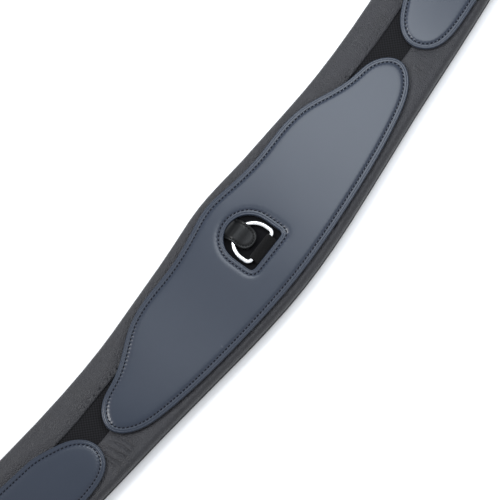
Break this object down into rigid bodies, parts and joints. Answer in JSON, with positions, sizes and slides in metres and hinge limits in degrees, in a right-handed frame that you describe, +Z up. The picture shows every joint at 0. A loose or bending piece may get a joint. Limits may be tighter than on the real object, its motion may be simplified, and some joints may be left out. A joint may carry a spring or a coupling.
{
  "type": "saddle girth",
  "caption": "Long anatomic padded leather saddle girth with stitched panels, a breastplate ring under a leather tab, and elastics with roller buckles.",
  "frame": {"origin": "middle of the girth, on the underside of its lining", "axes": "+X along the girth, +Y towards its front edge, where the elbow cut-outs are, +Z up through the outer panels"},
  "size_m": [1.26, 0.1383, 0.0187],
  "materials": {
    "lining_leather": "smooth, satin",
    "foam": "open-cell foam",
    "webbing": "black twill webbing",
    "cover_leather": "pebble grain, satin",
    "recess_cloth": "black cloth",
    "panel_leather": "smooth, satin",
    "backing_leather": "painted edge",
    "filler": "thin foam",
    "ring_steel": "polished",
    "tab_leather": "smooth, satin",
    "hook_and_loop": "hook-and-loop tape",
    "elastic_web": "ribbed elastic webbing",
    "buckle_leather": "smooth, satin",
    "buckle_steel": "stainless, polished"
  },
  "bodies": {
    "girth_body": {"lining": "lining_leather", "foam_core": "foam", "core_strap": "webbing", "front_cover": "cover_leather", "rear_cover": "cover_leather", "recess_lining": "recess_cloth", "centre_backing": "backing_leather", "centre_filler": "filler", "centre_panel": "panel_leather", "d_ring_chape": "webbing", "tab_loop_patch": "hook_and_loop", "left_end_backing": "backing_leather", "left_end_filler": "filler", "left_end_panel": "panel_leather", "right_end_backing": "backing_leather", "right_end_filler": "filler", "right_end_panel": "panel_leather", "right_front_elastic": "elastic_web", "right_rear_elastic": "elastic_web", "left_front_elastic": "elastic_web", "left_rear_elastic": "elastic_web"},
    "breastplate_ring": {"d_ring": "ring_steel"},
    "tab": {"keeper_tab": "tab_leather", "tab_hook_patch": "hook_and_loop"},
    "right_front_chape": {"right_front_buckle_chape": "buckle_leather"},
    "right_front_buckle": {"right_front_buckle_frame": "buckle_steel"},
    "right_front_buckle_tongue": {"right_front_tongue": "buckle_steel"},
    "right_front_buckle_roller": {"right_front_roller": "buckle_steel"},
    "right_rear_chape": {"right_rear_buckle_chape": "buckle_leather"},
    "right_rear_buckle": {"right_rear_buckle_frame": "buckle_steel"},
    "right_rear_buckle_tongue": {"right_rear_tongue": "buckle_steel"},
    "right_rear_buckle_roller": {"right_rear_roller": "buckle_steel"},
    "left_front_chape": {"left_front_buckle_chape": "buckle_leather"},
    "left_front_buckle": {"left_front_buckle_frame": "buckle_steel"},
    "left_front_buckle_tongue": {"left_front_tongue": "buckle_steel"},
    "left_front_buckle_roller": {"left_front_roller": "buckle_steel"},
    "left_rear_chape": {"left_rear_buckle_chape": "buckle_leather"},
    "left_rear_buckle": {"left_rear_buckle_frame": "buckle_steel"},
    "left_rear_buckle_tongue": {"left_rear_tongue": "buckle_steel"},
    "left_rear_buckle_roller": {"left_rear_roller": "buckle_steel"}
  },
  "joints": [
    {"name": "ring_lift", "type": "hinge", "parent": "girth_body", "child": "breastplate_ring", "pos_m": [0, -0.0078, 0.01505], "axis": [1, 0, 0], "range_deg": [0, 95]},
    {"name": "tab_lift", "type": "hinge", "parent": "girth_body", "child": "tab", "pos_m": [-0.001, 0.0195, 0.0136], "axis": [-1, 0, 0], "range_deg": [0, 115], "deforming": ["keeper_tab", "tab_hook_patch"]},
    {"name": "right_front_stretch", "type": "slide", "parent": "girth_body", "child": "right_front_chape", "axis": [0.9942, 0.108, 0], "range_m": [0, 0.02], "stiffness_N_per_m": 1500, "deforming": ["right_front_elastic"]},
    {"name": "right_front_buckle_swing", "type": "hinge", "parent": "right_front_chape", "child": "right_front_buckle", "pos_m": [0.59275, 0.06773, 0.0038], "axis": [0.108, -0.9942, 0], "range_deg": [-45, 45]},
    {"name": "right_front_tongue_lift", "type": "hinge", "parent": "right_front_buckle", "child": "right_front_buckle_tongue", "pos_m": [0.59275, 0.06773, 0.0038], "axis": [0.108, -0.9942, 0], "range_deg": [0, 85]},
    {"name": "right_front_roller_spin", "type": "hinge", "parent": "right_front_buckle", "child": "right_front_buckle_roller", "pos_m": [0.62058, 0.07076, 0.0038], "axis": [0.108, -0.9942, 0], "continuous": true},
    {"name": "right_rear_stretch", "type": "slide", "parent": "girth_body", "child": "right_rear_chape", "axis": [0.9942, 0.108, 0], "range_m": [0, 0.02], "stiffness_N_per_m": 1500, "deforming": ["right_rear_elastic"]},
    {"name": "right_rear_buckle_swing", "type": "hinge", "parent": "right_rear_chape", "child": "right_rear_buckle", "pos_m": [0.59691, 0.02946, 0.0038], "axis": [0.108, -0.9942, 0], "range_deg": [-45, 45]},
    {"name": "right_rear_tongue_lift", "type": "hinge", "parent": "right_rear_buckle", "child": "right_rear_buckle_tongue", "pos_m": [0.59691, 0.02946, 0.0038], "axis": [0.108, -0.9942, 0], "range_deg": [0, 85]},
    {"name": "right_rear_roller_spin", "type": "hinge", "parent": "right_rear_buckle", "child": "right_rear_buckle_roller", "pos_m": [0.62474, 0.03248, 0.0038], "axis": [0.108, -0.9942, 0], "continuous": true},
    {"name": "left_front_stretch", "type": "slide", "parent": "girth_body", "child": "left_front_chape", "axis": [-0.9942, 0.108, 0], "range_m": [0, 0.02], "stiffness_N_per_m": 1500, "deforming": ["left_front_elastic"]},
    {"name": "left_front_buckle_swing", "type": "hinge", "parent": "left_front_chape", "child": "left_front_buckle", "pos_m": [-0.59275, 0.06773, 0.0038], "axis": [0.108, 0.9942, 0], "range_deg": [-45, 45]},
    {"name": "left_front_tongue_lift", "type": "hinge", "parent": "left_front_buckle", "child": "left_front_buckle_tongue", "pos_m": [-0.59275, 0.06773, 0.0038], "axis": [0.108, 0.9942, 0], "range_deg": [0, 85]},
    {"name": "left_front_roller_spin", "type": "hinge", "parent": "left_front_buckle", "child": "left_front_buckle_roller", "pos_m": [-0.62058, 0.07076, 0.0038], "axis": [0.108, 0.9942, 0], "continuous": true},
    {"name": "left_rear_stretch", "type": "slide", "parent": "girth_body", "child": "left_rear_chape", "axis": [-0.9942, 0.108, 0], "range_m": [0, 0.02], "stiffness_N_per_m": 1500, "deforming": ["left_rear_elastic"]},
    {"name": "left_rear_buckle_swing", "type": "hinge", "parent": "left_rear_chape", "child": "left_rear_buckle", "pos_m": [-0.59691, 0.02946, 0.0038], "axis": [0.108, 0.9942, 0], "range_deg": [-45, 45]},
    {"name": "left_rear_tongue_lift", "type": "hinge", "parent": "left_rear_buckle", "child": "left_rear_buckle_tongue", "pos_m": [-0.59691, 0.02946, 0.0038], "axis": [0.108, 0.9942, 0], "range_deg": [0, 85]},
    {"name": "left_rear_roller_spin", "type": "hinge", "parent": "left_rear_buckle", "child": "left_rear_buckle_roller", "pos_m": [-0.62474, 0.03248, 0.0038], "axis": [0.108, 0.9942, 0], "continuous": true}
  ],
  "couplings": [
    {"joint": "tab_lift", "follows": "ring_lift", "ratio": 1.2}
  ]
}
